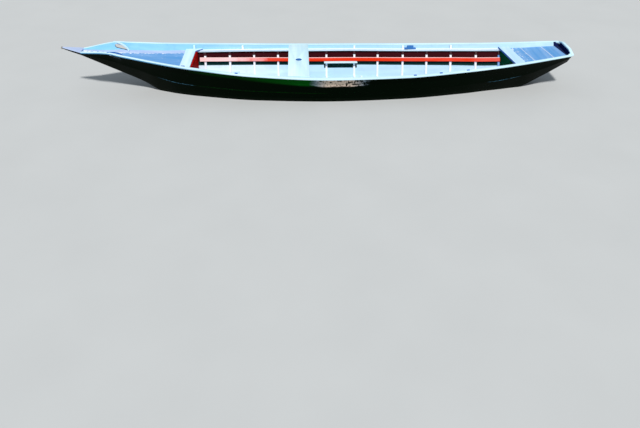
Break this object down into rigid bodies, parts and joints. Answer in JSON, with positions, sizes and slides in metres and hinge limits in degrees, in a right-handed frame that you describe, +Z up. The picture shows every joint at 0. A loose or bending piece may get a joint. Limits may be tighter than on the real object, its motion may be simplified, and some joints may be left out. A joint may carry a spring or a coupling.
{
  "type": "flat-bottomed lagoon rowing boat (sandolo)",
  "caption": "Flat-bottomed wooden rowing boat with raking ends, beaked bow, narrow transom stern, half decks, mast thwart and open cockpits.",
  "frame": {"origin": "under the middle of the boat's length, at the underside of the flat bottom", "axes": "X along the boat from the bow (-X) to the stern (+X), port is -Y, starboard is +Y, Z up"},
  "size_m": [7.553, 1.4366, 0.771],
  "materials": {
    "hull": "glossy black paint",
    "rail": "pale blue paint",
    "inwale": "pale blue paint",
    "deck": "worn blue paint",
    "margin": "faded blue paint",
    "frame": "white paint",
    "red": "red paint, bleached forward",
    "bulkhead": "dark red paint",
    "transom": "dark blue paint",
    "floor": "pale paint, worn",
    "metal": "weathered"
  },
  "bodies": {
    "root": {"bottom_fore": "hull", "bottom_middle": "hull", "bottom_aft": "hull", "strake_lower_fore_port": "hull", "strake_lower_fore_starboard": "hull", "strake_lower_aft_port": "hull", "strake_lower_aft_starboard": "hull", "strake_upper_port": "hull", "strake_upper_starboard": "hull", "stem_head": "hull", "rub_rail_fore_port": "rail", "rub_rail_fore_starboard": "rail", "rub_rail_middle_port": "rail", "rub_rail_middle_starboard": "rail", "rub_rail_aft_port": "rail", "rub_rail_aft_starboard": "rail", "fore_cross_plank": "rail", "aft_cross_plank": "rail", "transom_cap": "rail", "thwart": "rail", "shelf_board": "rail", "inwale_fore_port": "inwale", "inwale_fore_starboard": "inwale", "inwale_aft_port": "inwale", "inwale_aft_starboard": "inwale", "foredeck": "deck", "aft_deck_board_1": "deck", "aft_deck_board_2": "deck", "aft_deck_board_3": "deck", "rowlock_block_port": "deck", "rowlock_block_starboard": "deck", "foredeck_margin_port": "margin", "foredeck_margin_starboard": "margin", "beak_board": "margin", "frame_01": "frame", "frame_02": "frame", "frame_03": "frame", "frame_04": "frame", "frame_05": "frame", "frame_06": "frame", "frame_07": "frame", "frame_08": "frame", "frame_09": "frame", "frame_10": "frame", "frame_11": "frame", "frame_12": "frame", "frame_13": "frame", "mast_step": "frame", "stringer_port": "red", "stringer_starboard": "red", "fore_bulkhead": "bulkhead", "transom": "transom", "floor_board_fore_port": "floor", "floor_board_fore_starboard": "floor", "floor_board_aft_port": "floor", "floor_board_aft_starboard": "floor", "beak_tip": "metal"}
  },
  "joints": []
}
